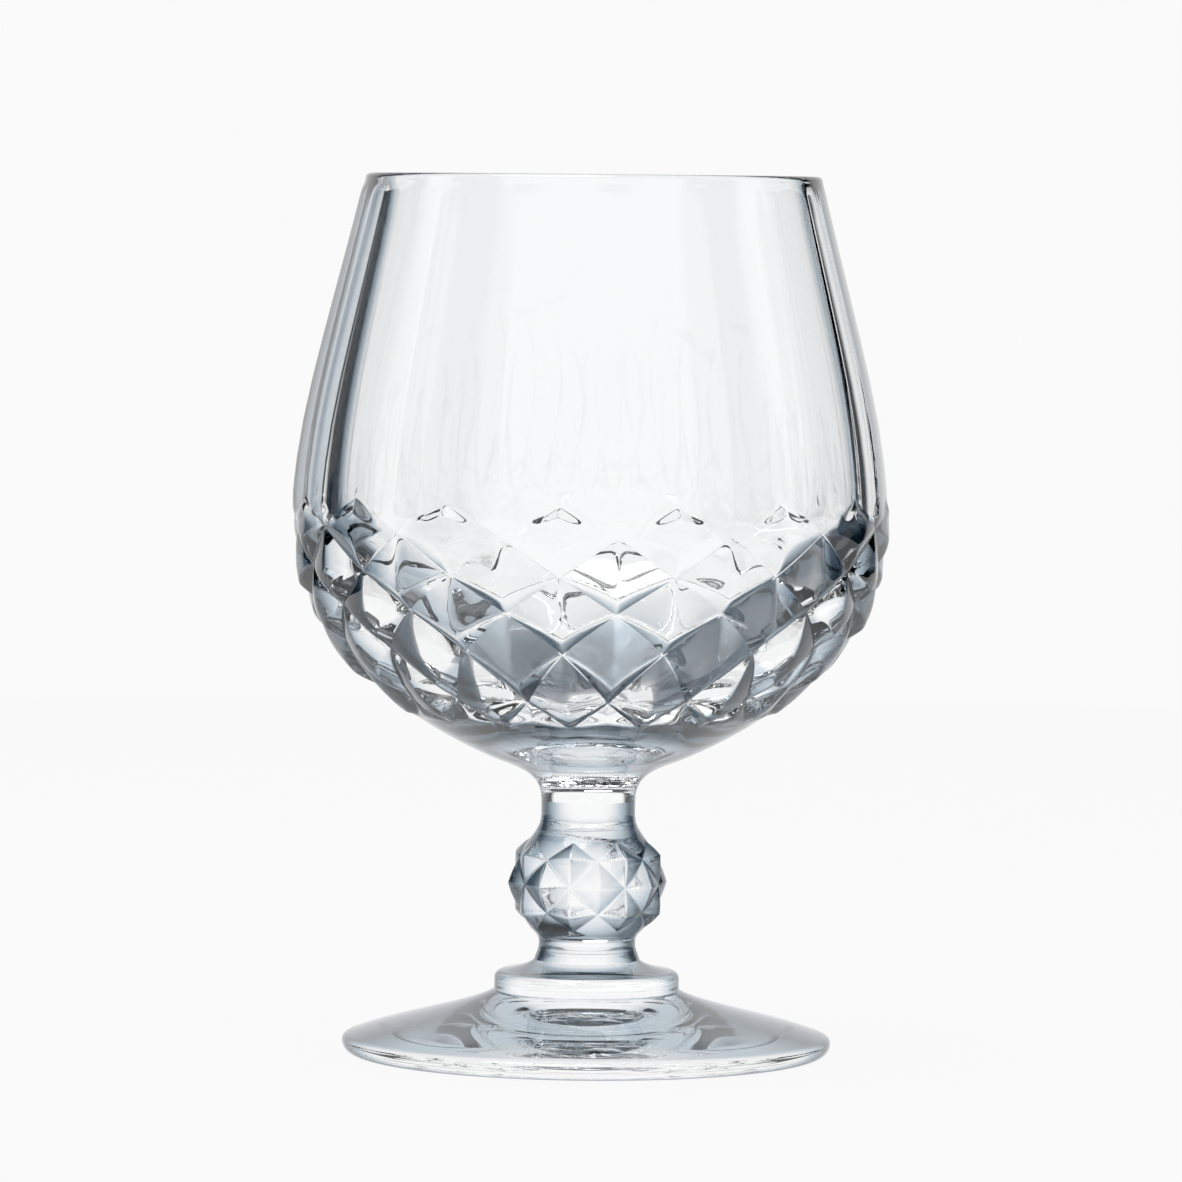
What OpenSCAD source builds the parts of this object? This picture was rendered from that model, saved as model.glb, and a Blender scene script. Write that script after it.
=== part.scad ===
// Brandy snifter in clear glass: a fluted bowl with a band of diamonds, a short
// stem with a faceted knop, a collar and a flared foot, welded hot end to end.
// Millimetres, +Z up, origin on the table under the middle of the foot, viewer at -Y.

/* [Foot] */
// Height of the foot, from the table to the collar
foot_h = 9.5; // [8:0.1:14]
// Radius of the foot at its edge
foot_r = 36.2; // [30:0.1:44]
// Height at which the foot is widest
foot_edge_h = 1.9; // [1:0.1:2.6]
// Height at which the top of the foot turns over into its edge
foot_shoulder_h = 3.3; // [2.8:0.1:5]
// Width of the rounded edge, inwards from the widest point
foot_edge_w = 2.2; // [1:0.1:4]
// Width of the flat ring that the glass stands on
rest_w = 4; // [1:0.1:10]
// Height of the hollow under the foot, at its middle
kick_h = 3; // [0.5:0.1:6]

/* [Collar] */
// Radius of the collar
collar_r = 13.7; // [11:0.1:20]
// Height of the collar, from the foot to the stem
collar_h = 4.5; // [3.5:0.1:8]
// Height of the collar's upright side
collar_side_h = 1.7; // [0.5:0.1:2]
// Height of the rounding over the collar's edge
collar_round_h = 1.2; // [0.4:0.1:1.4]
// Width of the rounding over the collar's edge
collar_round_w = 1.5; // [0.4:0.1:2.5]

/* [Stem] */
// Height of the stem, from the collar to the bowl
stem_h = 23.6; // [22:0.1:36]
// Radius where the stem stands on the collar
stem_foot_r = 7.8; // [7.3:0.1:9.4]
// Radius of the waist under the knop
waist_r = 7.15; // [5:0.05:7.5]
// Height of the waist under the knop
waist_h = 2.6; // [1.5:0.1:3.5]
// Radius where the stem carries the bowl
neck_r = 6.95; // [5:0.05:8]

/* [Knop] */
// Radius of the knop, to the points of its diamonds
knop_r = 11.9; // [10.5:0.1:14]
// Height of the middle of the knop above the collar
knop_h = 11.4; // [10.5:0.1:13]
// Height of the diamonds, up and down from the middle of the knop
knop_band_h = 6.6; // [5:0.1:7]
// Depth of the grooves between the knop's diamonds
knop_groove = 1.15; // [0.3:0.05:1.6]
// Diamonds round the knop
knop_cells = 8; // [6:1:12]
// Turn of the knop's pattern from the front, in degrees
knop_turn = -14; // [-45:0.5:45]

/* [Bowl] */
// Height of the bowl, from the stem to the rim
bowl_h = 92.4; // [80:0.1:120]
// Outer radius of the rim
rim_r = 33.5; // [28:0.1:40]
// Lean of the wall at the rim, from the upright, in degrees
rim_lean = 13.2; // [6:0.2:18]
// Thickness of the wall at the rim
rim_wall = 2.2; // [1.8:0.1:4]
// Radius of the fire-polished rim, on each side
rim_round = 0.8; // [0.2:0.05:0.85]
// Outer radius of the bowl at its widest
belly_r = 44.25; // [41:0.05:52]
// Height of the widest place above the stem
belly_h = 39.7; // [34:0.1:46]
// Thickness of the wall at the widest place
belly_wall = 4; // [3.4:0.1:6]
// Outer radius where the bowl turns down into the neck
throat_r = 14.6; // [11:0.1:19]
// Height above the stem where the bowl turns down into the neck
throat_h = 6.5; // [5:0.1:8]
// Slope of the underside of the bowl at the neck, in degrees
throat_rise = 21.3; // [12:0.1:28]
// Height of the bottom of the hollow above the stem
floor_h = 10.2; // [9.4:0.1:16]

/* [Flutes] */
// Flutes round the bowl, and diamonds in each row under them
bowl_cells = 16; // [12:1:24]
// Depth of a flute at its middle
flute_depth = 1; // [0.2:0.05:1.3]
// Plain height between the rim and the flutes
flute_gap = 1.2; // [1:0.1:6]
// Height over which a flute runs out towards the rim
flute_fade = 5; // [2:0.1:12]
// Turn of the flutes from the front, in degrees
bowl_turn = -6; // [-45:0.05:45]

/* [Diamonds] */
// Height of the top points of the diamonds above the stem
band_top_h = 45.9; // [43:0.1:52]
// Height of the bottom edge of the band above the stem
band_foot_h = 11.8; // [10.5:0.1:14]
// Depth of the grooves between the diamonds
groove_depth = 1.9; // [0.5:0.05:2.2]

/* [Hidden] */

// Glass as the photograph shows it
glass_tint = [0.86, 0.9, 0.93, 0.55];
edge_tint = [0.68, 0.75, 0.8, 0.65];

// Polar angle of the front, which faces the viewer
front = -90;
// Facets of the round pieces and steps along each curve
$fn = 96;
curve_steps = 12;
profile_steps = 40;
// How far a cut runs past the face that it opens
overrun = 2;

// Places of the pieces, stacked from the table up
collar_z = foot_h;
stem_z = collar_z + collar_h;
bowl_z = stem_z + stem_h;

// Pull of each curve's two handles, as shares of the height or width that it spans
foot_out_shares = [0.19, 0.7];
foot_drop_shares = [0.37, 0.66];
edge_pull_share = 0.6;
kick_pull_share = 0.5;
collar_out_shares = [0.4, 0.82];
collar_lift_shares = [0.25, 0.5];
neck_pull_share = 0.5;
upper_pull_shares = [0.49, 0.3];
lower_pull_share = 0.47;
throat_pull_share = 0.58;
fillet_pull_share = 0.6;
fillet_drop_share = 0.62;
floor_pull_share = 0.62;

// Rows of the bowl's band down from its top points, and the depth of the grooves there
row_shares = [0, 0.145, 0.325, 0.495, 0.68, 0.9, 1];
row_depth_shares = [0.5, 0.75, 1, 1, 0.95, 0.75, 0.3];
// Flat bevel along each groove, in from the corner, and how much of the depth it climbs
bowl_table_share = 0.3;
bowl_bevel_share = 0.72;
// Place of the point of the half diamonds on the bottom edge, and the depth it keeps
sill_point_share = 0.6;
sill_depth_share = 0.15;
// Rows of the knop's diamonds, up or down from its middle
knop_row_share = 0.6;
// The knop's diamonds are plain pyramids, so their sides climb evenly
knop_table_share = 0.5;

// Steps of the flutes from the rim to the diamonds
flute_step_shares = [0.04, 0.08, 0.12, 0.17, 0.25, 0.35, 0.45, 0.55, 0.65, 0.75, 0.85, 0.93, 1];

function mix(a, b, share) = a + share * (b - a);

function smooth(t) = let (s = max(0, min(1, t))) s * s * (3 - 2 * s);

// Point of a cubic curve with end points a and d and handles b and c
function curve_point(a, b, c, d, t) =
    let (s = 1 - t) s * s * s * a + 3 * s * s * t * b + 3 * s * t * t * c + t * t * t * d;

function curve(a, b, c, d, steps = curve_steps) =
    [for (i = [0:steps]) curve_point(a, b, c, d, i / steps)];

// Closed skin of rings with a lattice of diamonds between two of them. The rings hold
// [radius, height] for each column, and at(place, depth) gives a point of the section.
// Rows are [place, depth]: corners holds the groove crossings of each row, points the
// diamonds' points, and sill the points of half diamonds on the bottom ring, if any.
module diamond_skin(cells, turn, upper, lower, at, corners, points, table_share, bevel_share, sill) {
    half_cells = 2 * cells;
    cols = len(upper[0]);
    span = cols / half_cells;
    rows = len(corners) - 1;
    inner_rows = rows - 1;

    function spot(half_col, rz) =
        let (a = front + turn + half_col * 360 / half_cells) [rz.x * cos(a), rz.x * sin(a), rz.y];
    function row_col(k, j) = 2 * j + (k % 2 == 1 ? 0 : 1);

    upper_points = [for (ring = upper, c = [0:cols - 1]) spot(c / span, ring[c])];
    lower_points = [for (ring = lower, c = [0:cols - 1]) spot(c / span, ring[c])];
    crossing_points = [
        for (k = [1:inner_rows], j = [0:cells - 1])
            spot(2 * j + k % 2, at(corners[k][0], corners[k][1]))
    ];
    diamond_points = [
        for (k = [1:inner_rows], j = [0:cells - 1])
            let (
                i = row_col(k, j),
                ends = [[i, corners[k - 1]], [i + 1, corners[k]], [i, corners[k + 1]], [i - 1, corners[k]]]
            )
            each [
                for (end = ends)
                    let (
                        place = mix(end[1][0], points[k][0], table_share),
                        depth = mix(end[1][1], points[k][1], bevel_share)
                    )
                    spot(mix(end[0], i, table_share), at(place, depth)),
                spot(i, at(points[k][0], points[k][1]))
            ]
    ];
    sill_points = is_undef(sill) ? [] : [for (j = [0:cells - 1]) spot(2 * j + 1, at(sill[0], sill[1]))];

    top_ring = (len(upper) - 1) * cols;
    first_crossing = len(upper_points);
    first_diamond = first_crossing + len(crossing_points);
    diamond_size = len(diamond_points) / (inner_rows * cells);
    first_sill = first_diamond + len(diamond_points);
    bottom_ring = first_sill + len(sill_points);
    last_ring = bottom_ring + (len(lower) - 1) * cols;

    function crossing(i, k) =
        let (c = (i + half_cells) % half_cells)
        k == 0 ? top_ring + c * span
        : k == rows ? bottom_ring + c * span
        : first_crossing + (k - 1) * cells + floor(c / 2);
    function ring_faces(start, count) = [
        for (ring = [0:1:count - 2], c = [0:cols - 1])
            let (a = start + ring * cols + c, b = start + ring * cols + (c + 1) % cols)
            each [[a, b, b + cols], [a, b + cols, a + cols]]
    ];

    diamond_faces = [
        for (k = [1:inner_rows], j = [0:cells - 1])
            let (
                i = row_col(k, j),
                inner = first_diamond + ((k - 1) * cells + j) * diamond_size,
                point = inner + diamond_size - 1,
                outer = [crossing(i, k - 1), crossing(i + 1, k), crossing(i, k + 1), crossing(i - 1, k)]
            )
            for (side = [0:3])
                let (next = (side + 1) % 4)
                each [
                    [outer[side], outer[next], inner + next],
                    [outer[side], inner + next, inner + side],
                    [inner + side, inner + next, point]
                ]
    ];
    top_faces = [
        for (j = [0:cells - 1], s = [0:2 * span - 1])
            let (c = 2 * j * span + s)
            [top_ring + c, top_ring + (c + 1) % cols, crossing(2 * j + 1, 1)]
    ];
    bottom_faces = [
        for (j = [0:cells - 1], s = [0:2 * span - 1])
            let (c = 2 * j * span + s, hub = is_undef(sill) ? crossing(2 * j + 1, rows - 1) : first_sill + j)
            [hub, bottom_ring + (c + 1) % cols, bottom_ring + c]
    ];
    sill_faces = is_undef(sill) ? [] : [
        for (j = [0:cells - 1])
            let (head = crossing(2 * j + 1, rows - 1))
            each [
                [head, crossing(2 * j + 2, rows), first_sill + j],
                [crossing(2 * j, rows), head, first_sill + j]
            ]
    ];

    polyhedron(
        points = concat(upper_points, crossing_points, diamond_points, sill_points, lower_points),
        faces = concat(
            [[for (c = [cols - 1:-1:0]) c]],
            ring_faces(0, len(upper)),
            top_faces, diamond_faces, sill_faces, bottom_faces,
            ring_faces(bottom_ring, len(lower)),
            [[for (c = [0:cols - 1]) last_ring + c]]
        )
    );
}

// The foot: a flared disc with a rounded edge, hollowed a little underneath
module foot() {
    shoulder = [foot_r - foot_edge_w, foot_shoulder_h];
    top = [collar_r, foot_h];
    rest_out = foot_r - foot_edge_w;
    rest_in = rest_out - rest_w;
    slope = (foot_h - foot_shoulder_h) * (1 - foot_drop_shares[1]) / (1 - foot_out_shares[1])
        / (shoulder.x - collar_r);
    edge_run = edge_pull_share * foot_edge_w;
    color(glass_tint)
        rotate_extrude()
            polygon(concat(
                [[0, kick_h], [0, foot_h]],
                curve(
                    top,
                    [mix(top.x, shoulder.x, foot_out_shares[0]), mix(top.y, shoulder.y, foot_drop_shares[0])],
                    [mix(top.x, shoulder.x, foot_out_shares[1]), mix(top.y, shoulder.y, foot_drop_shares[1])],
                    shoulder
                ),
                [for (i = [1:curve_steps]) curve_point(
                    shoulder,
                    shoulder + edge_run * [1, -slope],
                    [foot_r, mix(foot_edge_h, foot_shoulder_h, edge_pull_share)],
                    [foot_r, foot_edge_h],
                    i / curve_steps
                )],
                [for (i = [1:curve_steps]) curve_point(
                    [foot_r, foot_edge_h],
                    [foot_r, foot_edge_h * (1 - edge_pull_share)],
                    [rest_out + edge_run, 0],
                    [rest_out, 0],
                    i / curve_steps
                )],
                [for (i = [0:curve_steps - 1]) curve_point(
                    [rest_in, 0],
                    [rest_in * kick_pull_share, kick_h],
                    [rest_in * kick_pull_share, kick_h],
                    [0, kick_h],
                    i / curve_steps
                )]
            ));
}

// The collar: a low round step with an upright side, under the stem
module collar() {
    side_top = [collar_r, collar_side_h];
    round_end = [collar_r - collar_round_w, collar_side_h + collar_round_h];
    color(edge_tint)
        translate([0, 0, collar_z])
            rotate_extrude()
                polygon(concat(
                    [[0, 0], [collar_r, 0]],
                    curve(
                        side_top,
                        [collar_r, mix(side_top.y, round_end.y, edge_pull_share)],
                        [mix(round_end.x, collar_r, edge_pull_share), mix(side_top.y, round_end.y, 1)],
                        round_end
                    ),
                    [for (i = [1:curve_steps]) curve_point(
                        round_end,
                        [mix(round_end.x, stem_foot_r, collar_out_shares[0]),
                            mix(round_end.y, collar_h, collar_lift_shares[0])],
                        [mix(round_end.x, stem_foot_r, collar_out_shares[1]),
                            mix(round_end.y, collar_h, collar_lift_shares[1])],
                        [stem_foot_r, collar_h],
                        i / curve_steps
                    )],
                    [[0, collar_h]]
                ));
}

// The stem: solid, with a waist below and a neck above its faceted ball
module stem() {
    cols = 4 * knop_cells;
    base_r = knop_r - knop_groove;
    band_lat = asin(knop_band_h / base_r);
    row_lat = asin(knop_row_share * knop_band_h / base_r);
    at = function (lat, depth) [(knop_r - depth) * cos(lat), knop_h + (knop_r - depth) * sin(lat)];
    top_edge = at(band_lat, knop_groove);
    low_edge = at(-band_lat, knop_groove);
    neck_run = stem_h - top_edge.y;
    waist_run = low_edge.y - waist_h;
    lean = [sin(band_lat), -cos(band_lat)];
    neck = curve(
        [neck_r, stem_h],
        [neck_r, stem_h - neck_pull_share * neck_run],
        top_edge - neck_pull_share * neck_run * [lean.x, lean.y],
        top_edge
    );
    waist = concat(
        curve(
            low_edge,
            low_edge - neck_pull_share * waist_run * [lean.x, -lean.y],
            [waist_r, waist_h + neck_pull_share * waist_run],
            [waist_r, waist_h]
        ),
        [for (i = [1:curve_steps]) curve_point(
            [waist_r, waist_h],
            [waist_r, waist_h * (1 - neck_pull_share)],
            [mix(waist_r, stem_foot_r, neck_pull_share), waist_h * (1 - neck_pull_share)],
            [stem_foot_r, 0],
            i / curve_steps
        )]
    );
    lats = [band_lat, row_lat, 0, -row_lat, -band_lat];
    color(glass_tint)
        translate([0, 0, stem_z])
            diamond_skin(
                knop_cells, knop_turn,
                [for (rz = neck) [for (c = [1:cols]) rz]],
                [for (rz = waist) [for (c = [1:cols]) rz]],
                at,
                [for (lat = lats) [lat, knop_groove]],
                [for (lat = lats) [lat, 0]],
                knop_table_share, knop_table_share
            );
}

// Outer section of the bowl, over the ridges of the flutes and the points of the diamonds
rim_out = [rim_r, bowl_h];
belly = [belly_r, belly_h];
throat = [throat_r, throat_h];
upper_span = bowl_h - belly_h;
lower_span = belly_h - throat_h;
throat_run = throat_pull_share * (belly_r - throat_r);
bowl_curve = concat(
    curve(
        rim_out,
        rim_out + upper_pull_shares[0] * upper_span * [tan(rim_lean), -1],
        belly + [0, upper_pull_shares[1] * upper_span],
        belly,
        profile_steps
    ),
    [for (i = [1:profile_steps]) curve_point(
        belly,
        belly - [0, lower_pull_share * lower_span],
        throat + throat_run * [1, tan(throat_rise)],
        throat,
        i / profile_steps
    )]
);
bowl_table = [for (i = [len(bowl_curve) - 1:-1:0]) [bowl_curve[i].y, bowl_curve[i].x]];

function bowl_radius(h) = lookup(h, bowl_table);

// Point of the bowl's section at a height, sunk square to the surface by a depth
function bowl_at(h, depth) =
    let (
        step = bowl_h / (4 * profile_steps),
        lean = (bowl_radius(h + step) - bowl_radius(h - step)) / (2 * step),
        inward = [-1, lean] / norm([1, lean])
    )
    [bowl_radius(h), h] + depth * inward;

// Radius of the fluted wall: a flute is deepest at its middle and runs out at the rim
function flute_radius(h, col) =
    let (
        off = (col % 4 == 2) ? 1 : (col % 4 == 0) ? 0 : 1 / 2,
        fade = smooth((bowl_h - flute_gap - h) / flute_fade)
    )
    bowl_radius(h) - flute_depth * fade * (1 - off * off);

// The hollow of the bowl, open through the rim
module bowl_hollow() {
    rim_in = [rim_r - rim_wall, bowl_h];
    belly_in = [belly_r - belly_wall, belly_h];
    lip = rim_in + rim_round * [-tan(rim_lean), -1];
    hollow_span = belly_h - floor_h;
    rotate_extrude()
        polygon(concat(
            [[0, floor_h], [0, bowl_h + overrun], [rim_in.x + rim_round, bowl_h + overrun]],
            [for (i = [0:curve_steps]) let (a = 90 * i / curve_steps)
                lip + rim_round * [1 - sin(a), cos(a)] + rim_round * (1 - i / curve_steps) * [tan(rim_lean), 0]],
            [for (i = [1:profile_steps]) curve_point(
                lip,
                lip + upper_pull_shares[0] * upper_span * [tan(rim_lean), -1],
                belly_in + [0, upper_pull_shares[1] * upper_span],
                belly_in,
                i / profile_steps
            )],
            [for (i = [1:profile_steps - 1]) curve_point(
                belly_in,
                belly_in - [0, lower_pull_share * hollow_span],
                [belly_in.x * floor_pull_share, floor_h],
                [0, floor_h],
                i / profile_steps
            )]
        ));
}

// The bowl: flutes from the rim to the belly, then diamonds, then a plain turn to the neck
module bowl() {
    cols = 4 * bowl_cells;
    row_hs = [for (share = row_shares) mix(band_top_h, band_foot_h, share)];
    row_depths = [for (share = row_depth_shares) share * groove_depth];
    sill_depth = row_depths[len(row_depths) - 1];
    flute_top = bowl_h - rim_round;
    rim_rings = [
        for (a = [90, 60, 30, 0])
            let (h = flute_top + rim_round * sin(a))
            [for (c = [1:cols]) [bowl_radius(h) - rim_round * (1 - cos(a)), h]]
    ];
    flute_rings = [
        for (share = flute_step_shares)
            let (h = mix(flute_top, band_top_h, share))
            [for (c = [0:cols - 1]) [flute_radius(h, c), h]]
    ];
    plain_steps = curve_steps / 2;
    plain_rings = [
        for (i = [0:plain_steps])
            let (share = i / plain_steps)
            bowl_at(mix(band_foot_h, throat_h, share), sill_depth * (1 - share))
    ];
    fillet_rings = [
        for (i = [1:curve_steps])
            curve_point(
                throat,
                throat - fillet_pull_share * (throat_r - neck_r) * [1, tan(throat_rise)],
                [neck_r, throat_h * fillet_drop_share],
                [neck_r, 0],
                i / curve_steps
            )
    ];
    color(glass_tint)
        translate([0, 0, bowl_z])
            difference() {
                diamond_skin(
                    bowl_cells, bowl_turn,
                    concat(rim_rings, flute_rings),
                    [for (rz = concat(plain_rings, fillet_rings)) [for (c = [1:cols]) rz]],
                    function (h, depth) bowl_at(h, depth),
                    [for (k = [0:len(row_hs) - 1]) [row_hs[k], row_depths[k]]],
                    [for (h = row_hs) [h, 0]],
                    bowl_table_share, bowl_bevel_share,
                    [mix(row_hs[len(row_hs) - 2], band_foot_h, sill_point_share), sill_depth_share * groove_depth]
                );
                bowl_hollow();
            }
}

foot();
collar();
stem();
bowl();
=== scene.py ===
# Looks of a brandy snifter in clear pressed glass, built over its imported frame.
# Metres, +Z up, the origin on the table under the middle of the foot, the viewer at -Y.
import math

import bpy
from mathutils import Matrix, Vector


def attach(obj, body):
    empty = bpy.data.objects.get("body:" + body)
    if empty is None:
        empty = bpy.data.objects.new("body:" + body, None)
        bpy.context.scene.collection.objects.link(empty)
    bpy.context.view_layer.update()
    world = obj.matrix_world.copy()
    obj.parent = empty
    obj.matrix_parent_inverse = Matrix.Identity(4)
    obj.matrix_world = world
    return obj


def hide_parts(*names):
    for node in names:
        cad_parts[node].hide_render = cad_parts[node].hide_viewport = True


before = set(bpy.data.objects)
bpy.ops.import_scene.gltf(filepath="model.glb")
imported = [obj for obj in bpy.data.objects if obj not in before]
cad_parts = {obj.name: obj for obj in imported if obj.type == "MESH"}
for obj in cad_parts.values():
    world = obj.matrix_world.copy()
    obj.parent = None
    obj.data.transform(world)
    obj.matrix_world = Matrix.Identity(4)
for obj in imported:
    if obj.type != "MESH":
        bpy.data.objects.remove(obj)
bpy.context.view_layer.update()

# Foot: a pressed disc of clear soda-lime glass that flares from the collar to a rounded
# edge. It stands on a flat ring and is hollowed a little underneath, and the collar is
# welded hot to the flat on top of it.
MM = 0.001
foot_h = 9.5 * MM
foot_r = 36.2 * MM
foot_edge_h = 1.9 * MM
foot_shoulder_h = 3.3 * MM
foot_edge_w = 2.2 * MM
rest_w = 4.0 * MM
kick_h = 3.0 * MM
foot_weld_r = 13.7 * MM
foot_out_shares = (0.19, 0.7)
foot_drop_shares = (0.37, 0.66)
edge_pull_share = 0.6
kick_pull_share = 0.5
round_cells = 32
round_steps = 4
round_columns = [i / round_steps for i in range(round_steps + 1)]


def mix(a, b, share):
    return a + share * (b - a)


def curve(a, b, c, d, steps):
    """Points of a cubic curve from a to d with handles b and c."""
    points = []
    for i in range(steps + 1):
        t = i / steps
        u = 1 - t
        weights = (u * u * u, 3 * u * u * t, 3 * u * t * t, t * t * t)
        points.append(tuple(sum(w * p[k] for w, p in zip(weights, (a, b, c, d))) for k in (0, 1)))
    return points


class Sector:
    """Mesh of one repeat of a piece round its axis, with the faces that are welded to another piece."""

    def __init__(self, cells):
        self.cell_angle = math.tau / cells
        self.points = []
        self.faces = []
        self.welds = []

    def spot(self, share, r, z):
        """Adds a point at a share of the cell's angle, counted from the front."""
        a = share * self.cell_angle - math.pi / 2
        self.points.append((r * math.cos(a), r * math.sin(a), z))
        return len(self.points) - 1

    def face(self, corners, weld=False):
        ring = [c for i, c in enumerate(corners) if c != corners[i - 1]]
        self.faces.append(ring)
        self.welds.append(weld)

    def sweep(self, rows, columns, welds=()):
        """Faces between rows of points, each row one (r, z) or a function of the column."""
        net = []
        for row in rows:
            if callable(row):
                net.append([self.spot(c, *row(c)) for c in columns])
            elif row[0] == 0:
                net.append([self.spot(0, *row)] * len(columns))
            else:
                net.append([self.spot(c, *row) for c in columns])
        for i in range(len(rows) - 1):
            for j in range(len(columns) - 1):
                corners = [net[i][j], net[i + 1][j], net[i + 1][j + 1], net[i][j + 1]]
                self.face(corners, i in welds)


def ring_tree():
    """Geometry Nodes tree that repeats a sector round the axis and joins the repeats."""
    tree = bpy.data.node_groups.new("ring_of_sectors", "GeometryNodeTree")
    kinds = (("Sector", "Geometry"), ("Cells", "Int"), ("Turn", "Float"), ("Seam", "Float"),
             ("Crease", "Float"), ("Glass", "Material"), ("Weld", "Material"))
    for name, kind in kinds:
        tree.interface.new_socket(name, in_out="INPUT", socket_type="NodeSocket" + kind)
    tree.interface.new_socket("Ring", in_out="OUTPUT", socket_type="NodeSocketGeometry")
    nodes = tree.nodes
    start = nodes.new("NodeGroupInput").outputs

    def add(kind, links, **settings):
        made = nodes.new(kind)
        for name, value in settings.items():
            setattr(made, name, value)
        for key, value in links.items():
            if isinstance(value, bpy.types.NodeSocket):
                tree.links.new(value, made.inputs[key])
            else:
                made.inputs[key].default_value = value
        return made.outputs[0]

    index = add("GeometryNodeInputIndex", {})
    step = add("ShaderNodeMath", {0: math.tau, 1: start["Cells"]}, operation="DIVIDE")
    angle = add("ShaderNodeMath", {0: index, 1: step, 2: start["Turn"]}, operation="MULTIPLY_ADD")
    rotation = add("ShaderNodeCombineXYZ", {"Z": angle})
    places = add("GeometryNodePoints", {"Count": start["Cells"]})
    copies = add("GeometryNodeInstanceOnPoints",
                 {"Points": places, "Instance": start["Sector"], "Rotation": rotation})
    loose = add("GeometryNodeRealizeInstances", {"Geometry": copies})
    joined = add("GeometryNodeMergeByDistance", {"Geometry": loose, "Distance": start["Seam"]})
    smooth = add("GeometryNodeSetShadeSmooth", {"Geometry": joined})
    fold = add("GeometryNodeInputMeshEdgeAngle", {})
    crease = add("FunctionNodeCompare", {0: fold, 1: start["Crease"]}, operation="GREATER_THAN")
    creased = add("GeometryNodeSetShadeSmooth",
                  {"Geometry": smooth, "Selection": crease, "Shade Smooth": False}, domain="EDGE")
    glazed = add("GeometryNodeSetMaterial", {"Geometry": creased, "Material": start["Glass"]})
    welded = add("GeometryNodeInputNamedAttribute", {"Name": "weld"}, data_type="BOOLEAN")
    done = add("GeometryNodeSetMaterial",
               {"Geometry": glazed, "Selection": welded, "Material": start["Weld"]})
    end = nodes.new("NodeGroupOutput")
    tree.links.new(done, end.inputs["Ring"])
    return tree


ring_of_sectors = ring_tree()
seam_gap = 0.002 * MM


def pressed(name, sector, cells, turn, crease, glass, weld):
    """A closed piece of glass, made of one sector repeated round the axis."""
    mesh = bpy.data.meshes.new(name + "_sector")
    mesh.from_pydata(sector.points, [], sector.faces)
    marks = mesh.attributes.new("weld", "BOOLEAN", "FACE")
    marks.data.foreach_set("value", sector.welds)
    blank = bpy.data.objects.new(name + "_blank", mesh)
    bpy.context.scene.collection.objects.link(blank)
    ring = blank.modifiers.new("ring", "NODES")
    ring.node_group = ring_of_sectors
    values = {"Cells": cells, "Turn": math.radians(turn), "Seam": seam_gap,
              "Crease": math.radians(crease), "Glass": glass, "Weld": weld}
    for item in ring_of_sectors.interface.items_tree:
        if item.in_out == "INPUT" and item.name in values:
            ring[item.identifier] = values[item.name]
    solid = bpy.data.meshes.new_from_object(blank.evaluated_get(bpy.context.evaluated_depsgraph_get()))
    solid.name = name
    bpy.data.objects.remove(blank)
    bpy.data.meshes.remove(mesh)
    piece = bpy.data.objects.new(name, solid)
    bpy.context.scene.collection.objects.link(piece)
    return piece


class Shade:
    """A socket of a shader tree. Arithmetic on it adds Math nodes, and node() adds any other."""

    def __init__(self, tree, out=None):
        self.tree = tree
        self.out = out

    def node(self, kind, settings=None, sockets=None, out=0):
        made = self.tree.nodes.new(kind)
        for name, value in (settings or {}).items():
            if name == "stops":
                tones = made.color_ramp.elements
                for stop, (place, colour) in zip(tones, (value[0], value[-1])):
                    stop.position = place
                    stop.color = (*colour, 1)
                for place, colour in value[1:-1]:
                    tones.new(place).color = (*colour, 1)
            else:
                setattr(made, name, value)
        for key, value in (sockets or {}).items():
            port = made.inputs[key]
            if isinstance(value, Shade):
                self.tree.links.new(value.out, port)
            else:
                port.default_value = value
        return Shade(self.tree, made.outputs[out])

    def math(self, operation, *values):
        return self.node("ShaderNodeMath", {"operation": operation}, dict(enumerate(values)))

    def __add__(self, other):
        return self.math("ADD", self, other)

    def __sub__(self, other):
        return self.math("SUBTRACT", self, other)

    def __rsub__(self, other):
        return self.math("SUBTRACT", other, self)

    def __mul__(self, other):
        return self.math("MULTIPLY", self, other)

    def __truediv__(self, other):
        return self.math("DIVIDE", self, other)

    __radd__ = __add__
    __rmul__ = __mul__


glass_ior = 1.52
thin_tint = (0.997, 0.999, 1.0, 1)
thick_tint = (0.985, 0.992, 0.996, 1)
# Painted shade: glass seen at a slant is darkened from clear to slate and near black, to draw dark edges.
clear_tint = (1.0, 1.0, 1.0)
painted_slate_shade = (0.3, 0.4, 0.49)
painted_edge_shade = (0.008, 0.016, 0.026)
painted_slate_share = 0.5
lamp_tint = (0.93, 0.95, 0.96, 1)
ripple_height = 0.002 * MM
wave_scale = 220.0
wave_height = 0.035 * MM
wave_edge = 4.0 * MM
# Painted shade: how much sooner the glass darkens in the diamond relief.
relief_painted_shade = 0.26
polish_low = 0.0
polish_high = 0.02
skin_fineness = 14


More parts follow.
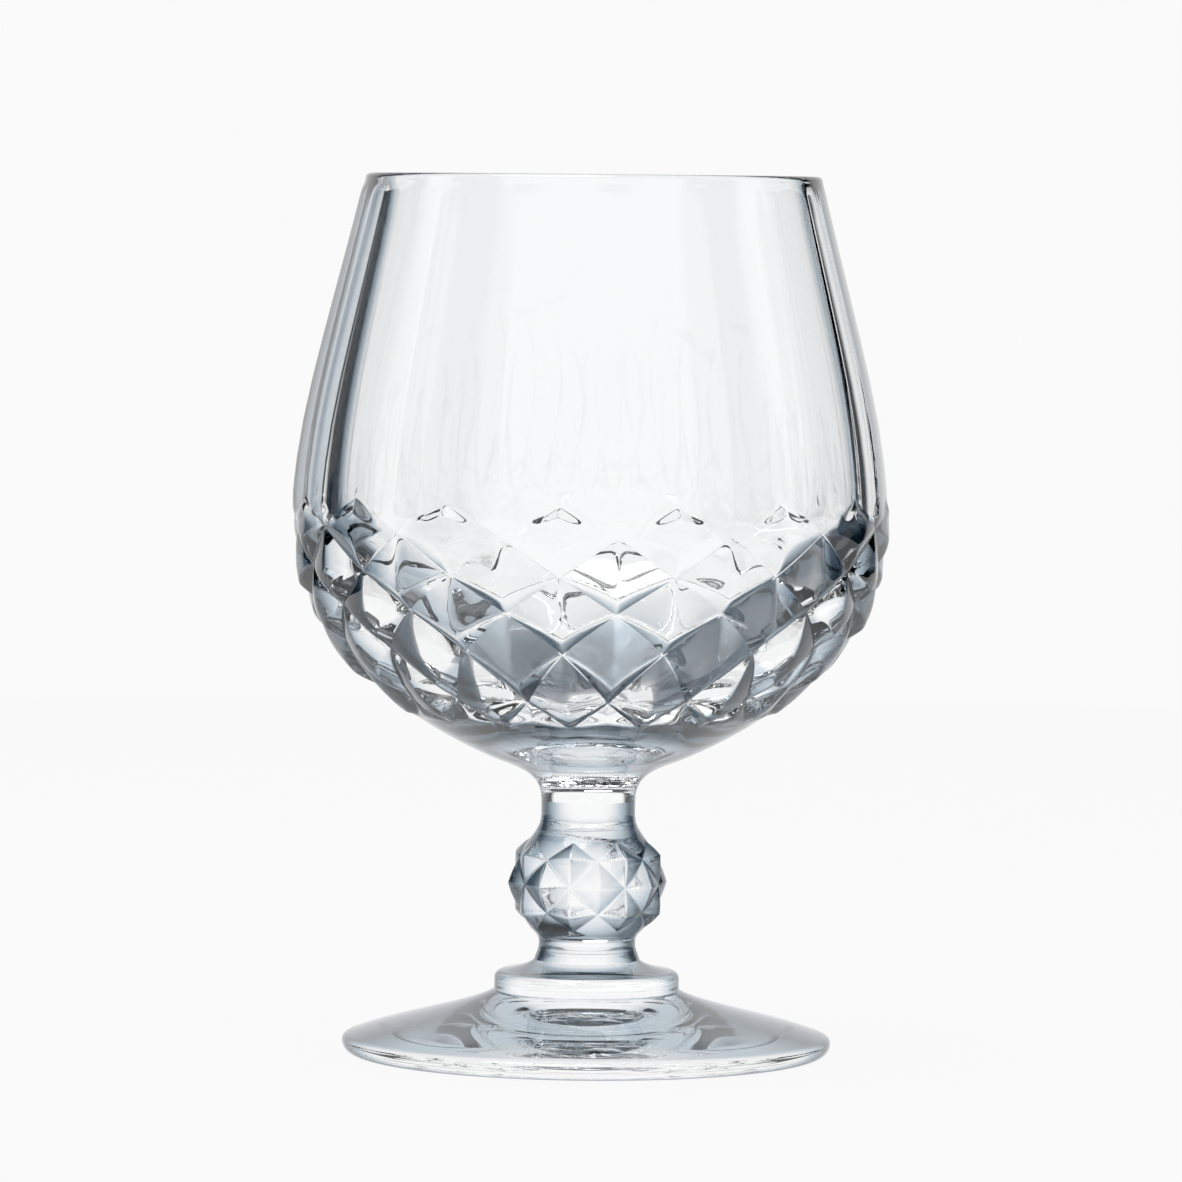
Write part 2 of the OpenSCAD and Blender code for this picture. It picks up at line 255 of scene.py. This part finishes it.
def clear_glass(name, ripples, stretch, slants, relief=None):
    """Fire-polished glass: faint cords of cooler glass, clean gloss, uneven skin in pressed relief.

    Where it is seen at a slant its colour is painted darker, from clear to slate and near black,
    between the two slants given: painted shade that draws dark edges, far darker than the longer
    way through the glass would make it, and it comes sooner in the relief. relief gives the heights
    where the uneven skin and that earlier painted shade start and end.
    """
    material = bpy.data.materials.new(name)
    material.use_nodes = True
    tree = material.node_tree
    tree.nodes.clear()
    base = Shade(tree)
    place = base.node("ShaderNodeTexCoord", out="Object")
    drawn = base.node("ShaderNodeMapping", None, {"Vector": place, "Scale": (1, 1, stretch)})
    cords = base.node("ShaderNodeTexNoise", None,
                      {"Vector": drawn, "Scale": ripples, "Detail": 2.0, "Distortion": 0.6})
    skin = base.node("ShaderNodeTexNoise", None,
                     {"Vector": place, "Scale": skin_fineness * ripples, "Detail": 3.0})
    tint = base.node("ShaderNodeMix", {"data_type": "RGBA"},
                     {"Factor": cords, "A": thin_tint, "B": thick_tint}, out="Result")
    polish = polish_low + (polish_high - polish_low) * skin * skin
    slant = base.node("ShaderNodeLayerWeight", None, {"Blend": 0.5}, out="Facing")
    bumps = cords * ripple_height
    if relief:
        z = Shade(tree, base.node("ShaderNodeSeparateXYZ", None, {0: place}).out.node.outputs["Z"])
        waves = base.node("ShaderNodeTexNoise", None, {"Vector": place, "Scale": wave_scale, "Detail": 0.0})
        low, high = relief
        inside = base.node("ShaderNodeMapRange", {"interpolation_type": "SMOOTHSTEP"},
                           {"Value": z, "From Min": low - wave_edge, "From Max": low})
        under = base.node("ShaderNodeMapRange", {"interpolation_type": "SMOOTHSTEP"},
                          {"Value": z, "From Min": high - wave_edge, "From Max": high,
                           "To Min": 1.0, "To Max": 0.0})
        band = inside * under
        bumps = bumps + waves * band * wave_height
        # Painted shade: in the relief band the glass darkens as if seen at a steeper slant.
        slant = slant + band * relief_painted_shade
    slant = base.node("ShaderNodeMapRange", {"interpolation_type": "SMOOTHSTEP"},
                      {"Value": slant, "From Min": slants[0], "From Max": slants[1]})
    # Painted shade: the slant picks clear, slate or near black, and that darkens the glass colour.
    painted_shade_stops = [(0, clear_tint), (painted_slate_share, painted_slate_shade), (1, painted_edge_shade)]
    depth = base.node("ShaderNodeValToRGB", {"stops": painted_shade_stops}, {0: slant})
    tint = base.node("ShaderNodeVectorMath", {"operation": "MULTIPLY"}, {0: tint, 1: depth})
    wave = base.node("ShaderNodeBump", None, {"Strength": 1.0, "Distance": 1.0, "Height": bumps})
    glass = base.node("ShaderNodeBsdfPrincipled", None, {
        "Base Color": tint, "Roughness": polish, "IOR": glass_ior,
        "Transmission Weight": 1.0, "Normal": wave})
    lamp_pass = base.node("ShaderNodeBsdfTransparent", None, {"Color": lamp_tint})
    lamp = base.node("ShaderNodeLightPath", out="Is Shadow Ray")
    both = base.node("ShaderNodeMixShader", None, {0: lamp, 1: glass, 2: lamp_pass})
    end = tree.nodes.new("ShaderNodeOutputMaterial")
    tree.links.new(both.out, end.inputs["Surface"])
    return material


def hot_weld():
    """The face where two gathers of glass ran together: it bends and mirrors nothing."""
    material = bpy.data.materials.new("hot_weld")
    material.use_nodes = True
    tree = material.node_tree
    tree.nodes.clear()
    through = Shade(tree).node("ShaderNodeBsdfTransparent")
    end = tree.nodes.new("ShaderNodeOutputMaterial")
    tree.links.new(through.out, end.inputs["Surface"])
    return material


weld_face = hot_weld()
foot_glass = clear_glass("foot_glass", ripples=60.0, stretch=1.0, slants=(0.5, 0.8))

shoulder = (foot_r - foot_edge_w, foot_shoulder_h)
foot_top = (foot_weld_r, foot_h)
rest_out = foot_r - foot_edge_w
rest_in = rest_out - rest_w
edge_run = edge_pull_share * foot_edge_w
fall = (foot_h - foot_shoulder_h) * (1 - foot_drop_shares[1])
shoulder_slope = fall / ((1 - foot_out_shares[1]) * (shoulder[0] - foot_weld_r))
foot_rows = [(0, foot_h)]
foot_rows += curve(
    foot_top,
    tuple(mix(foot_top[k], shoulder[k], (foot_out_shares, foot_drop_shares)[k][0]) for k in (0, 1)),
    tuple(mix(foot_top[k], shoulder[k], (foot_out_shares, foot_drop_shares)[k][1]) for k in (0, 1)),
    shoulder, steps=24)
foot_rows += curve(
    shoulder,
    (shoulder[0] + edge_run, shoulder[1] - edge_run * shoulder_slope),
    (foot_r, mix(foot_edge_h, foot_shoulder_h, edge_pull_share)),
    (foot_r, foot_edge_h), steps=10)[1:]
foot_rows += curve(
    (foot_r, foot_edge_h),
    (foot_r, foot_edge_h * (1 - edge_pull_share)),
    (rest_out + edge_run, 0),
    (rest_out, 0), steps=10)[1:]
foot_rows += curve((rest_in, 0), (rest_in * kick_pull_share, kick_h),
                   (rest_in * kick_pull_share, kick_h), (0, kick_h), steps=20)
foot_sector = Sector(round_cells)
foot_sector.sweep(foot_rows, round_columns, welds=(0,))
foot = pressed("foot", foot_sector, round_cells, turn=0, crease=35,
               glass=foot_glass, weld=weld_face)
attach(foot, "root")
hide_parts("foot")

# Collar: a low turned step of the same glass between the foot and the stem. Its side
# stands upright, its edge is rounded over in the fire, and it rises to the waist.
collar_r = 13.7 * MM
collar_h = 4.5 * MM
collar_side_h = 1.7 * MM
collar_round_h = 1.2 * MM
collar_round_w = 1.5 * MM
collar_weld_r = 7.8 * MM
collar_out_shares = (0.4, 0.82)
collar_lift_shares = (0.25, 0.5)
collar_z = foot_h

side_top = (collar_r, collar_side_h)
round_end = (collar_r - collar_round_w, collar_side_h + collar_round_h)
collar_rows = [(0, collar_h)]
collar_rows += curve(
    (collar_weld_r, collar_h),
    (mix(round_end[0], collar_weld_r, collar_out_shares[1]),
     mix(round_end[1], collar_h, collar_lift_shares[1])),
    (mix(round_end[0], collar_weld_r, collar_out_shares[0]),
     mix(round_end[1], collar_h, collar_lift_shares[0])),
    round_end, steps=14)
collar_rows += curve(
    round_end,
    (mix(round_end[0], collar_r, edge_pull_share), round_end[1]),
    (collar_r, mix(side_top[1], round_end[1], edge_pull_share)),
    side_top, steps=10)[1:]
collar_rows += [(collar_r, collar_side_h * share) for share in (0.75, 0.5, 0.25, 0)]
collar_rows += [(0, 0)]
collar_rows = [(r, z + collar_z) for r, z in collar_rows]
collar_sector = Sector(round_cells)
collar_sector.sweep(collar_rows, round_columns, welds=(0, len(collar_rows) - 2))
collar_glass = clear_glass("collar_glass", ripples=60.0, stretch=1.0, slants=(0.3, 0.8))
collar = pressed("collar", collar_sector, round_cells, turn=0, crease=35,
                 glass=collar_glass, weld=weld_face)
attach(collar, "root")
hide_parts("collar")

# Stem: solid glass pressed in a two-part mould, with a waist below, a neck above and a
# ball between them whose skin is cut by crossing grooves into pointed diamonds.
stem_h = 23.6 * MM
stem_foot_r = 7.8 * MM
waist_r = 7.15 * MM
waist_h = 2.6 * MM
neck_r = 6.95 * MM
knop_r = 11.9 * MM
knop_h = 11.4 * MM
knop_band_h = 6.6 * MM
knop_groove = 1.15 * MM
knop_cells = 8
knop_turn = -14
knop_row_share = 0.6
neck_pull_share = 0.5
knop_groove_round = 0.012
stem_z = collar_z + collar_h


def both_halves(near):
    """Steps across a diamond, the same from either side."""
    return list(near) + [1 - share for share in reversed(near[:-1])]


def diamond(sector, steps, col, row, place, part="whole"):
    """Adds one diamond of a lattice: its corners lie one half column or one row from its middle.

    place(half_col, row, s, t) gives (r, z), with s and t the shares along its two upper edges.
    part is whole, or the half of it above or below its middle.
    """
    last = len(steps) - 1
    kept = {"whole": lambda n: True, "above": lambda n: n <= last, "below": lambda n: n >= last}[part]
    spots = {}
    for a, s in enumerate(steps):
        for b, t in enumerate(steps):
            if kept(a + b):
                half_col = col + s - t
                level = row - 1 + s + t
                spots[a, b] = sector.spot(half_col / 2, *place(half_col, level, s, t))
    for a in range(last):
        for b in range(last):
            corners = [(a, b), (a, b + 1), (a + 1, b + 1), (a + 1, b)]
            if a + b == last - 1 or part != "whole" and not all(c in spots for c in corners):
                triangles = ([(a, b), (a, b + 1), (a + 1, b)], [(a + 1, b), (a, b + 1), (a + 1, b + 1)])
            elif a == b:
                triangles = ([(a, b), (a, b + 1), (a + 1, b + 1)], [(a, b), (a + 1, b + 1), (a + 1, b)])
            else:
                triangles = (corners,)
            for ring in triangles:
                if all(c in spots for c in ring):
                    sector.face([spots[c] for c in ring])


knop_steps = both_halves((0, 0.02, 0.05, 0.1, 0.17, 0.25, 0.33, 0.41, 0.47, 0.5))
ball_r = knop_r - knop_groove
band_lat = math.asin(knop_band_h / ball_r)
row_lat = math.asin(knop_row_share * knop_band_h / ball_r)
knop_lats = (band_lat, row_lat, 0.0, -row_lat, -band_lat)


def between(values, place):
    """Smooth value at a place along a list, through every entry."""
    i = min(max(int(place), 0), len(values) - 2)
    t = place - i
    step = values[i + 1] - values[i]
    before = values[i] - values[i - 1] if i > 0 else step
    after = values[i + 2] - values[i + 1] if i + 2 < len(values) else step
    m0 = (before + step) / 2
    m1 = (step + after) / 2
    return values[i] + t * (m0 + t * (3 * step - 2 * m0 - m1 + t * (m0 + m1 - 2 * step)))


def knop_at(lat, depth):
    return ((knop_r - depth) * math.cos(lat), stem_z + knop_h + (knop_r - depth) * math.sin(lat))


def knop_point(half_col, level, s, t):
    edge = min(s, 1 - s, t, 1 - t)
    climb = math.hypot(edge, knop_groove_round) - knop_groove_round
    return knop_at(between(knop_lats, level), knop_groove * (1 - 2 * climb))


def knop_plain(half_col, level, s, t):
    return knop_at(between(knop_lats, level), knop_groove)


stem_sector = Sector(knop_cells)
band_top = knop_at(band_lat, knop_groove)
band_low = knop_at(-band_lat, knop_groove)
lean = (math.sin(band_lat), math.cos(band_lat))
neck_run = neck_pull_share * (stem_z + stem_h - band_top[1])
neck_rows = [(0, stem_z + stem_h)] + curve(
    (neck_r, stem_z + stem_h),
    (neck_r, stem_z + stem_h - neck_run),
    (band_top[0] - neck_run * lean[0], band_top[1] + neck_run * lean[1]),
    band_top, steps=16)
waist_run = neck_pull_share * (band_low[1] - stem_z - waist_h)
waist_rows = curve(
    band_low,
    (band_low[0] - waist_run * lean[0], band_low[1] - waist_run * lean[1]),
    (waist_r, stem_z + waist_h + waist_run),
    (waist_r, stem_z + waist_h), steps=12)
waist_rows += curve(
    (waist_r, stem_z + waist_h),
    (waist_r, stem_z + waist_h * (1 - neck_pull_share)),
    (mix(waist_r, stem_foot_r, neck_pull_share), stem_z + waist_h * (1 - neck_pull_share)),
    (stem_foot_r, stem_z), steps=10)[1:]
waist_rows += [(0, stem_z)]
stem_sector.sweep(neck_rows, knop_steps, welds=(0,))
diamond(stem_sector, knop_steps, 1, 0, knop_plain, "below")
for row in (1, 2, 3):
    diamond(stem_sector, knop_steps, 1 - row % 2, row, knop_point)
diamond(stem_sector, knop_steps, 1, 4, knop_plain, "above")
stem_sector.sweep(waist_rows, knop_steps, welds=(len(waist_rows) - 2,))
stem_glass = clear_glass("stem_glass", ripples=60.0, stretch=0.6, slants=(0.02, 0.52))
stem = pressed("stem", stem_sector, knop_cells, turn=knop_turn, crease=35,
               glass=stem_glass, weld=weld_face)
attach(stem, "root")
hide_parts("stem")

# Bowl: pressed glass with a smooth hollow. Shallow flutes run from under the rim to the
# belly, and a band of diamonds between crossing grooves goes on down to the plain turn
# into the neck. The rim is fire-polished round.
bowl_h = 92.4 * MM
rim_r = 33.5 * MM
rim_lean = math.tan(math.radians(13.2))
rim_wall = 2.2 * MM
rim_round = 0.8 * MM
belly_r = 44.25 * MM
belly_h = 39.7 * MM
belly_wall = 4.0 * MM
throat_r = 14.6 * MM
throat_h = 6.5 * MM
throat_rise = math.tan(math.radians(21.3))
floor_h = 10.2 * MM
upper_pull_shares = (0.49, 0.3)
lower_pull_share = 0.47
throat_pull_share = 0.58
fillet_pull_share = 0.6
fillet_drop_share = 0.62
floor_pull_share = 0.62
bowl_z = stem_z + stem_h
bowl_cells = 16
bowl_turn = -6
flute_depth = 0.55 * MM
flute_rim_share = 0.4
flute_gap = 0.3 * MM
flute_fade = 1.6 * MM
flute_end_share = 0.34
band_top_h = 45.9 * MM
band_foot_h = 11.8 * MM
row_shares = (0, 0.145, 0.325, 0.495, 0.68, 0.9, 1)
row_depths = [depth * MM for depth in (0.05, 0.9, 1.6, 1.75, 1.7, 1.55, 0.57)]
point_share = 0.75
first_point_share = 0.655
long_swell = 1.6
short_swell = 1.1
ridge_round = 0.08 * MM
sill_share = 0.5
last_row = 6
groove_levels = (0.1, 1.2)
point_levels = (1.3, 2.3)
relief_inset = 2.0 * MM
rim_steps = 5
turn_steps = 6

upper_span = bowl_h - belly_h
lower_span = belly_h - throat_h
throat_run = throat_pull_share * (belly_r - throat_r)
ridge_r = rim_r + flute_depth
outer_curve = curve(
    (ridge_r, bowl_h),
    (ridge_r + upper_pull_shares[0] * upper_span * rim_lean, bowl_h - upper_pull_shares[0] * upper_span),
    (belly_r, belly_h + upper_pull_shares[1] * upper_span),
    (belly_r, belly_h), steps=400)
outer_curve += curve(
    (belly_r, belly_h),
    (belly_r, belly_h - lower_pull_share * lower_span),
    (throat_r + throat_run, throat_h + throat_run * throat_rise),
    (throat_r, throat_h), steps=400)[1:]


def outer_at(h, depth):
    """Point of the bowl's outer section at a height, sunk square to the surface by a depth."""
    low, high = 0, len(outer_curve) - 1
    while high - low > 1:
        middle = (low + high) // 2
        if outer_curve[middle][1] > h:
            low = middle
        else:
            high = middle
    (r0, h0), (r1, h1) = outer_curve[low], outer_curve[high]
    r = mix(r0, r1, (h0 - h) / (h0 - h1))
    run = math.hypot(r1 - r0, h1 - h0)
    return (r - depth * (h0 - h1) / run, bowl_z + h + depth * (r0 - r1) / run)


def soft_step(low, high, value):
    t = min(max((value - low) / (high - low), 0), 1)
    return t * t * (3 - 2 * t)


def soft_most(values, rounding):
    most = max(values)
    return most + rounding * math.log(sum(math.exp((value - most) / rounding) for value in values))


row_heights = [mix(band_top_h, band_foot_h, share) for share in row_shares]
flute_top = bowl_h - rim_round


def flute_cut(half_col, h):
    """Depth of the flutes below the ridges between them, which run out under the rim."""
    across = half_col % 2
    off = min(across, 2 - across)
    ridge = soft_step(0, flute_fade, flute_top - flute_gap - h)
    ridge = ridge * mix(flute_rim_share, 1, min((flute_top - h) / (flute_top - band_top_h), 1))
    return flute_depth * (1 - off * off * ridge)


def band_skin(half_col, level, s, t):
    """Point of the band, where the flutes run out into the first diamonds.

    Two long facets of a diamond run down to the grooves over it, two short ones to those under it.
    """
    h = between(row_heights, level)
    rounding = ridge_round * soft_step(0, 1, level) + seam_gap
    groove = between(row_depths, level) * soft_step(*groove_levels, level)
    point = mix(first_point_share, point_share, soft_step(*point_levels, level))
    depths = [groove * max(1 - share / point, 0) ** long_swell for share in (s, t)]
    depths += [groove * max(1 - (1 - share) / (1 - point), 0) ** short_swell for share in (s, t)]
    row = round(level + 1 - s - t)
    if row < 2:
        end = row * soft_step(0, flute_end_share, min(s, t))
        depths.append(flute_cut(half_col, h) * (1 - end))
    sunk = soft_step(last_row - 1 + sill_share, last_row, level)
    return outer_at(h, mix(soft_most(depths, rounding), row_depths[last_row], sunk))


bowl_steps = both_halves((0, 0.02, 0.055, 0.1, 0.145, 0.185, 0.22, 0.25, 0.29, 0.345, 0.41, 0.47, 0.5))
lip = (rim_r - rim_wall - rim_round * rim_lean, flute_top)
belly_in = (belly_r - belly_wall, belly_h)
hollow_span = belly_h - floor_h
hollow = curve(
    (0, floor_h),
    (belly_in[0] * floor_pull_share, floor_h),
    (belly_in[0], belly_h - lower_pull_share * hollow_span),
    belly_in, steps=16)
hollow += curve(
    belly_in,
    (belly_in[0], belly_h + upper_pull_shares[1] * upper_span),
    (lip[0] + upper_pull_shares[0] * upper_span * rim_lean, lip[1] - upper_pull_shares[0] * upper_span),
    lip, steps=12)[1:]
bowl_rows = [(r, bowl_z + h) for r, h in hollow]
for i in range(1, rim_steps + 1):
    a = i / rim_steps * math.pi / 2
    bowl_rows.append((lip[0] + rim_round * (1 - math.cos(a)), bowl_z + flute_top + rim_round * math.sin(a)))
rim_edge = outer_at(flute_top, flute_depth)[0]
for i in range(rim_steps):
    a = i / rim_steps * math.pi / 2
    bowl_rows.append((rim_edge - rim_round * (1 - math.sin(a)),
                      bowl_z + flute_top + rim_round * math.cos(a)))
flute_shares = (0, 0.01, 0.02, 0.03, 0.045, 0.07, 0.13, 0.23, 0.36, 0.5, 0.64, 0.78, 0.9, 0.97)
for share in flute_shares:
    h = mix(flute_top, band_top_h, share)
    bowl_rows.append(lambda c, h=h: outer_at(h, flute_cut(2 * c, h)))
bowl_rows.append(lambda c: band_skin(2 * c, 0, c, 1 - c))
bowl_sector = Sector(bowl_cells)
bowl_sector.sweep(bowl_rows, bowl_steps)
diamond(bowl_sector, bowl_steps, 1, 0, band_skin, "below")
for row in range(1, last_row):
    diamond(bowl_sector, bowl_steps, 1 - row % 2, row, band_skin)
diamond(bowl_sector, bowl_steps, 1, last_row, band_skin, "above")
turn_rows = []
for i in range(turn_steps + 1):
    share = i / turn_steps
    turn_rows.append(outer_at(mix(band_foot_h, throat_h, share), row_depths[last_row] * (1 - share)))
fillet_run = fillet_pull_share * (throat_r - neck_r)
fillet = curve(
    (throat_r, throat_h),
    (throat_r - fillet_run, throat_h - fillet_run * throat_rise),
    (neck_r, throat_h * fillet_drop_share),
    (neck_r, 0), steps=10)[1:]
turn_rows += [(r, bowl_z + h) for r, h in fillet] + [(0, bowl_z)]
bowl_sector.sweep(turn_rows, bowl_steps, welds=(len(turn_rows) - 2,))
bowl_glass = clear_glass("bowl_glass", ripples=40.0, stretch=0.4, slants=(0.58, 0.84),
                         relief=(bowl_z + band_foot_h, bowl_z + band_top_h - relief_inset))
bowl = pressed("bowl", bowl_sector, bowl_cells, turn=bowl_turn, crease=50,
               glass=bowl_glass, weld=weld_face)
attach(bowl, "root")
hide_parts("bowl")

# Studio: a pale table and backdrop under a broad soft lamp, the same to the camera and to the
# glass. Rays off or through glass also meet two dark cards on each side and a dark ceiling,
# which the camera is not shown, so that the edges of the glass are drawn.
scene = bpy.context.scene
scene.view_settings.view_transform = "Standard"
scene.cycles.max_bounces = 28
scene.cycles.transmission_bounces = 28
scene.cycles.glossy_bounces = 12
scene.cycles.transparent_max_bounces = 16
scene.cycles.caustics_reflective = False
scene.cycles.caustics_refractive = False
scene.cycles.use_denoising = True
paper = (0.956, 0.956, 0.956)
dark = (0.003, 0.008, 0.014)
table_r = 0.75
table_glow = 0.96
table_sides = 64
room_light = (0.5, 0.5, 0.5)
card_bearings = ((42, 80), (104, 128))
card_soft = 6
ceiling_rises = (28.0, 40.0)


def bearings(*stops):
    """Ramp stops from bearings in degrees, 0 behind the glass and positive to the right."""
    return [(degrees / 360 + 0.5, colour) for degrees, colour in stops]


def ramp(value, low, high):
    return value.node("ShaderNodeMapRange", {"interpolation_type": "SMOOTHSTEP"},
                      {"Value": value, "From Min": low, "From Max": high})


def blend(factor, a, b):
    ends = {key: value if isinstance(value, Shade) else (*value, 1) for key, value in (("A", a), ("B", b))}
    return factor.node("ShaderNodeMix", {"data_type": "RGBA"}, {"Factor": factor, **ends}, out="Result")


def looked_at(tree):
    """Whether a ray comes straight from the camera, and whether it does or comes off or through glass."""
    kinds = Shade(tree).node("ShaderNodeLightPath").out.node.outputs
    straight, mirrored, bent = (Shade(tree, kinds[name]) for name in
                                ("Is Camera Ray", "Is Glossy Ray", "Is Transmission Ray"))
    both = straight + mirrored + bent
    return straight, both.math("MINIMUM", both, 1.0)


table_mesh = bpy.data.meshes.new("table")
angles = [i / table_sides * math.tau for i in range(table_sides)]
table_mesh.from_pydata([(table_r * math.cos(a), table_r * math.sin(a), 0) for a in angles], [],
                       [list(range(table_sides))])
table = bpy.data.objects.new("table", table_mesh)
scene.collection.objects.link(table)
table_paint = bpy.data.materials.new("table_paint")
table_paint.use_nodes = True
tree = table_paint.node_tree
tree.nodes.clear()
base = Shade(tree)
seen = looked_at(tree)[1]
glow = base.node("ShaderNodeEmission", None, {"Color": (*paper, 1), "Strength": 1.0})
matte = base.node("ShaderNodeBsdfDiffuse", None, {"Color": (*paper, 1)})
both = base.node("ShaderNodeMixShader", None, {0: seen * table_glow, 1: matte, 2: glow})
end = tree.nodes.new("ShaderNodeOutputMaterial")
tree.links.new(both.out, end.inputs["Surface"])
table_mesh.materials.append(table_paint)

world = bpy.data.worlds.new("studio")
world.use_nodes = True
scene.world = world
tree = world.node_tree
tree.nodes.clear()
base = Shade(tree)
straight, seen = looked_at(tree)
way = base.node("ShaderNodeTexCoord", out="Generated")
parts = base.node("ShaderNodeSeparateXYZ", None, {0: way}).out.node.outputs
x, y, z = (Shade(tree, parts[k]) for k in "XYZ")
turn = x.math("ARCTAN2", x, y) / math.tau + 0.5
rise = z.math("ARCSINE", z) * math.degrees(1)
right = []
for near, far in card_bearings:
    right += [(near - card_soft, paper), (near, dark), (far, dark), (far + card_soft, paper)]
left = [(-degrees, tone) for degrees, tone in reversed(right)]
stops = bearings((-180, paper), *left, *right, (180, paper))
cards = base.node("ShaderNodeValToRGB", {"stops": stops}, {0: turn})
wall = blend(ramp(rise, *ceiling_rises), cards, dark)
room = blend(seen, room_light, blend(straight, wall, paper))
sky = base.node("ShaderNodeBackground", None, {"Color": room, "Strength": 1.0})
end = tree.nodes.new("ShaderNodeOutputWorld")
tree.links.new(sky.out, end.inputs["Surface"])

lamp_data = bpy.data.lights.new("soft_lamp", "AREA")
lamp_data.shape = "DISK"
lamp_data.size = 0.9
lamp_data.energy = 12
lamp = bpy.data.objects.new("soft_lamp", lamp_data)
lamp.location = (-0.3, -0.2, 1.4)
lamp_aim = Vector((0, 0, 0.05))
lamp.rotation_euler = (lamp_aim - lamp.location).to_track_quat("-Z", "Y").to_euler()
scene.collection.objects.link(lamp)

camera_data = bpy.data.cameras.new("camera")
camera_data.lens = 223.0
camera_data.sensor_width = 36.0
camera = bpy.data.objects.new("camera", camera_data)
scene.collection.objects.link(camera)
tilt = math.radians(3.15)
roll = math.radians(0.55)
look = Matrix.Rotation(math.pi / 2 - tilt, 4, "X") @ Matrix.Rotation(roll, 4, "Z")
camera_place = Vector((0.0001, -1.08, 0.128))
camera.matrix_world = Matrix.Translation(camera_place) @ look
scene.camera = camera
